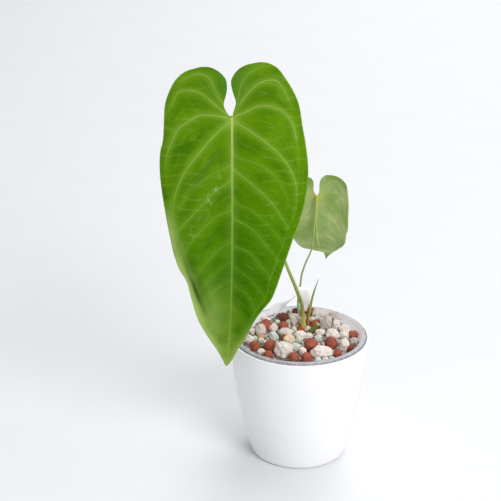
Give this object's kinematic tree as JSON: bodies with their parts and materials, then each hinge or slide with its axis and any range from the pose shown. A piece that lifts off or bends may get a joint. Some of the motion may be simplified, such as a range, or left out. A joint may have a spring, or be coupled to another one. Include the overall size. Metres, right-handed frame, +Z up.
{
  "type": "potted anthurium queremalense",
  "caption": "House plant in a tapered white cover pot: one long heart-shaped leaf on a slim stalk, a smaller leaf behind, a new spike, stones over the roots.",
  "frame": {"origin": "centre of the cover pot's flat foot, on the surface the pot stands on", "axes": "+Z up along the pot's axis; the large leaf's upper face looks along -Y, and it stands left of the pot, towards -X"},
  "size_m": [0.2044, 0.2231, 0.4195],
  "materials": {
    "ceramic": "smooth matte white glaze",
    "clear_plastic": "translucent, slightly scuffed",
    "pumice": "rough and porous",
    "clay": "matte fired clay",
    "root": "matte",
    "stalk": "satin",
    "leaf": "satin, pale veins",
    "sheath": "papery",
    "label": "smooth, blank"
  },
  "bodies": {
    "root": {"cover_pot": "ceramic", "grow_pot": "clear_plastic", "pumice_bed": "pumice", "clay_ball_01": "clay", "clay_ball_02": "clay", "clay_ball_03": "clay", "clay_ball_04": "clay", "clay_ball_05": "clay", "clay_ball_06": "clay", "clay_ball_07": "clay", "clay_ball_08": "clay", "clay_ball_09": "clay", "clay_ball_10": "clay", "clay_ball_11": "clay", "clay_ball_12": "clay", "clay_ball_13": "clay", "clay_ball_14": "clay", "clay_ball_15": "clay", "clay_ball_16": "clay", "clay_ball_17": "clay", "root_stem": "root", "petiole_large": "stalk", "leaf_large": "leaf", "petiole_small": "stalk", "leaf_small": "leaf", "new_leaf_spike": "stalk", "cataphyll": "sheath", "petiole_stub": "stalk", "plant_label": "label"}
  },
  "joints": []
}
